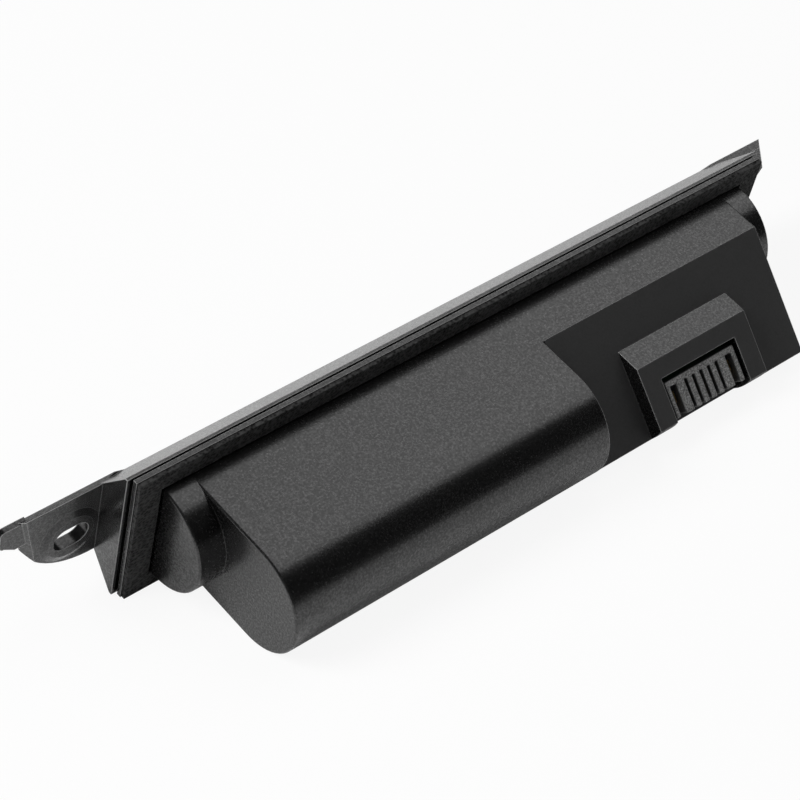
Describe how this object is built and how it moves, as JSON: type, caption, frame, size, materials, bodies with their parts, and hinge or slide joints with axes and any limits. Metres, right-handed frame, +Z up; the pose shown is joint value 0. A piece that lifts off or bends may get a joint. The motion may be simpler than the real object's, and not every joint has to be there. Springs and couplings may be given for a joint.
{
  "type": "speaker battery pack",
  "caption": "Lobed black battery pack for a portable speaker: round cells in a sealed case with a slanted connector recess, foam gasket, bevelled outer cover, screw ear and locating lip",
  "frame": {"origin": "middle of the ground rectangle under the pack as it lies on its side", "axes": "X along the cells towards the lip, Z up, the crown of the case towards -Y"},
  "size_m": [0.1838, 0.041, 0.0302],
  "materials": {
    "case_plastic": "black moulding with a fine spark-eroded grain",
    "cover_plastic": "black moulding, smooth satin",
    "gasket_foam": "fine-celled black foam",
    "insert_plastic": "dark grey glass-filled moulding",
    "contact_metal": "gold-flashed spring alloy",
    "nickel": "nickel strip, as rolled",
    "cell_wrap": "shrunk film sleeve over a steel can",
    "insulating_paper": "fish paper",
    "pad_foam": "soft foam",
    "wire_jacket": "thin insulation",
    "board_laminate": "solder mask",
    "chip_resin": "moulded resin"
  },
  "bodies": {
    "root": {"lower_case": "case_plastic", "outer_cover": "cover_plastic", "seal_gasket": "gasket_foam", "connector_insert": "insert_plastic", "contact_1": "contact_metal", "contact_2": "contact_metal", "contact_3": "contact_metal", "contact_4": "contact_metal", "contact_5": "contact_metal", "contact_6": "contact_metal", "contact_7": "contact_metal", "link_strip_left": "nickel", "link_strip_middle": "nickel", "positive_strip": "nickel", "negative_strip": "nickel", "cell_lower_left": "cell_wrap", "cell_lower_right": "cell_wrap", "cell_upper": "cell_wrap", "insulating_ring_1": "insulating_paper", "insulating_ring_2": "insulating_paper", "insulating_ring_3": "insulating_paper", "cell_separator": "insulating_paper", "foam_pad_left": "pad_foam", "foam_pad_right": "pad_foam", "foam_pad_upper": "pad_foam", "sense_wire_upper": "wire_jacket", "sense_wire_middle": "wire_jacket", "protection_board": "board_laminate", "control_chip": "chip_resin", "charge_switch": "chip_resin", "discharge_switch": "chip_resin", "shunt_resistor": "chip_resin", "chip_fuse": "chip_resin", "thermistor": "chip_resin"}
  },
  "joints": []
}
